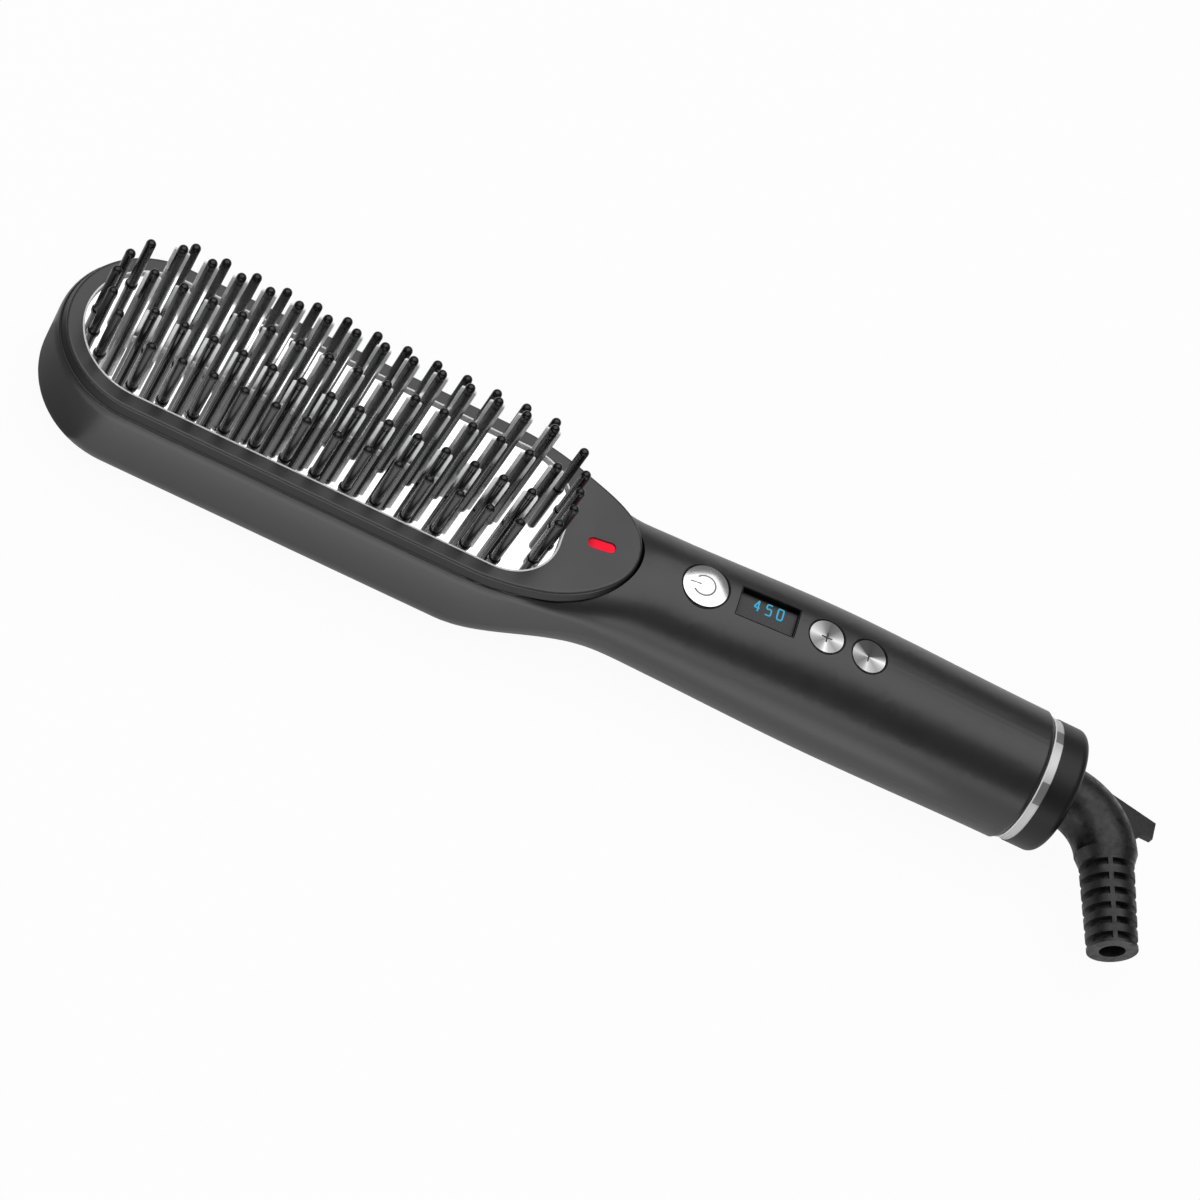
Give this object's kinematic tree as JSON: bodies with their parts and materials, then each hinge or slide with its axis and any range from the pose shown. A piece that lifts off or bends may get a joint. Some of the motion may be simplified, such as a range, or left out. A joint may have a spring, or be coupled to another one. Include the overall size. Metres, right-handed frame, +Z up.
{
  "type": "heated hair straightening comb",
  "caption": "Heated hair straightening comb: a rounded head with a polished toothed plate in a raised bezel, a round handle with push buttons and a display, and a swivelling angled cord boot.",
  "frame": {"origin": "on the flat back under the middle of the head", "axes": "+X from the head along the handle to the cord end, +Y to the far side, +Z up out of the toothed plate"},
  "size_m": [0.304, 0.0621, 0.0509],
  "materials": {
    "housing_plastic": "soft touch, matte",
    "plate_metal": "polished",
    "fin_metal": "polished",
    "bristle_plastic": "semi gloss, heat resistant",
    "gasket_rubber": "silicone",
    "heater_ceramic": "fired ceramic",
    "spring_sheet": "mill finish",
    "mica": "pressed mica",
    "sensor_body": "coated",
    "fuse_metal": "drawn can",
    "light_lens": "clear red",
    "circuit_board": "solder mask",
    "display_body": "moulded",
    "display_glass": "smoked clear",
    "button_metal": "polished or spun",
    "switch_plastic": "moulded",
    "capacitor_case": "dipped",
    "terminal_plastic": "moulded",
    "lead_cover": "braided sleeve",
    "trim_chrome": "polished",
    "swivel_plastic": "low friction",
    "contact_brass": "turned",
    "boot_rubber": "moulded, satin",
    "screw_steel": "zinc plated"
  },
  "bodies": {
    "handset": {"main_housing": "housing_plastic", "back_cover": "housing_plastic", "bezel_frame": "housing_plastic", "led_window": "light_lens", "led_board": "circuit_board", "plate_gasket": "gasket_rubber", "heating_plate": "plate_metal", "heat_fins": "fin_metal", "tooth_cores": "bristle_plastic", "edge_bristles": "bristle_plastic", "ceramic_heater": "heater_ceramic", "heater_clamp": "spring_sheet", "mica_sheet": "mica", "thermistor": "sensor_body", "thermal_fuse": "fuse_metal", "heat_shield": "spring_sheet", "heater_lead_near": "lead_cover", "heater_lead_far": "lead_cover", "control_board": "circuit_board", "display_module": "display_body", "display_lens": "display_glass", "power_switch": "switch_plastic", "plus_switch": "switch_plastic", "minus_switch": "switch_plastic", "film_capacitor": "capacitor_case", "triac": "sensor_body", "terminal_block": "terminal_plastic", "mains_lead_near": "lead_cover", "mains_lead_far": "lead_cover", "trim_ring": "trim_chrome", "end_cap": "housing_plastic", "swivel_bush": "swivel_plastic", "swivel_plate": "swivel_plastic", "swivel_contact_near": "contact_brass", "swivel_contact_far": "contact_brass", "housing_screw_1": "screw_steel", "housing_screw_2": "screw_steel", "housing_screw_3": "screw_steel", "housing_screw_4": "screw_steel", "housing_screw_5": "screw_steel", "housing_screw_6": "screw_steel", "board_screw_1": "screw_steel", "board_screw_2": "screw_steel", "board_screw_3": "screw_steel", "board_screw_4": "screw_steel", "clamp_screw_1": "screw_steel", "clamp_screw_2": "screw_steel", "clamp_screw_3": "screw_steel", "clamp_screw_4": "screw_steel", "bezel_screw_1": "screw_steel", "bezel_screw_2": "screw_steel"},
    "power_button": {"power_button": "button_metal"},
    "plus_button": {"plus_button": "button_metal"},
    "minus_button": {"minus_button": "button_metal"},
    "cord_swivel": {"swivel_hub": "swivel_plastic", "cord_boot": "boot_rubber"}
  },
  "joints": [
    {"name": "power_press", "type": "slide", "parent": "handset", "child": "power_button", "axis": [0.091, 0, -0.9958], "range_m": [0, 0.0006], "stiffness_N_per_m": 3000},
    {"name": "plus_press", "type": "slide", "parent": "handset", "child": "plus_button", "axis": [0.0445, 0, -0.999], "range_m": [0, 0.0006], "stiffness_N_per_m": 3000},
    {"name": "minus_press", "type": "slide", "parent": "handset", "child": "minus_button", "axis": [-0.0036, 0, -1], "range_m": [0, 0.0006], "stiffness_N_per_m": 3000},
    {"name": "cord_turn", "type": "hinge", "parent": "handset", "child": "cord_swivel", "pos_m": [0.2105, 0, 0.0178], "axis": [1, 0, 0], "continuous": true}
  ]
}
